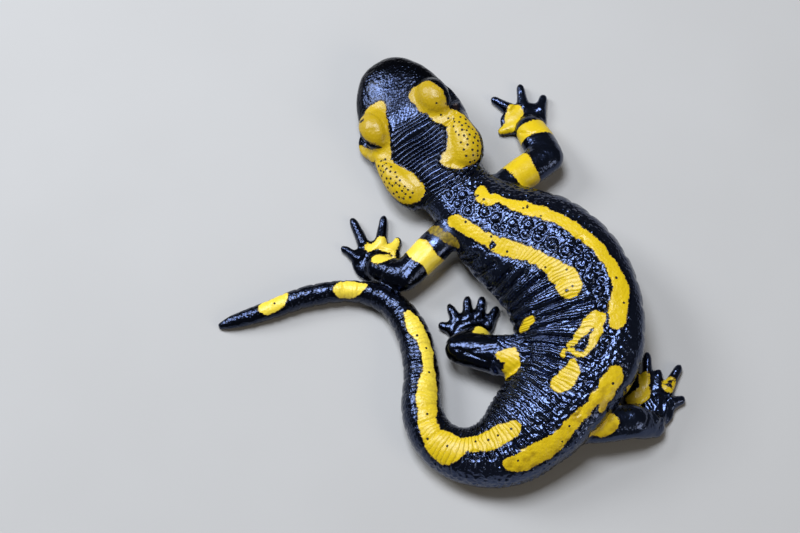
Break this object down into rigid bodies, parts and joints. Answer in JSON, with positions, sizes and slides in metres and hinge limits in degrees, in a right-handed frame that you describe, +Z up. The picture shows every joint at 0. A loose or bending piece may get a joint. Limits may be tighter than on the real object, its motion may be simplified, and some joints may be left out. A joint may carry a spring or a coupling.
{
  "type": "fire salamander",
  "caption": "Life-size striped fire salamander at rest, body curled clockwise to a tail that bends back, broad flat head, short sturdy legs, glossy black skin with yellow patches.",
  "frame": {"origin": "on the floor, under the middle of the bounding box", "axes": "+Z up from the floor; the snout points towards -X and +Y, the outer side of the bent trunk towards +X, the tail tip towards -X"},
  "size_m": [0.0926, 0.0914, 0.0155],
  "materials": {
    "skin": "wet gloss, black with irregular bright yellow patches",
    "gland_skin": "wet gloss, bright yellow with fine dark pores",
    "eye": "wet, black and clear"
  },
  "bodies": {
    "root": {"eye_left": "eye", "eye_right": "eye", "finger_left_1": "skin", "finger_left_2": "skin", "finger_left_3": "skin", "finger_left_4": "skin", "finger_right_1": "skin", "finger_right_2": "skin", "finger_right_3": "skin", "finger_right_4": "skin", "foot_left": "skin", "foot_right": "skin", "forearm_left": "skin", "forearm_right": "skin", "gland_left": "gland_skin", "gland_right": "gland_skin", "hand_left": "skin", "hand_right": "skin", "head": "skin", "lower_jaw": "skin", "neck": "skin", "shank_left": "skin", "shank_right": "skin", "tail_bend": "skin", "tail_end": "skin", "tail_middle": "skin", "tail_root": "skin", "thigh_left": "skin", "thigh_right": "skin", "toe_left_1": "skin", "toe_left_2": "skin", "toe_left_3": "skin", "toe_left_4": "skin", "toe_left_5": "skin", "toe_right_1": "skin", "toe_right_2": "skin", "toe_right_3": "skin", "toe_right_4": "skin", "toe_right_5": "skin", "trunk_front": "skin", "trunk_middle": "skin", "trunk_rear": "skin", "upper_arm_left": "skin", "upper_arm_right": "skin"}
  },
  "joints": []
}
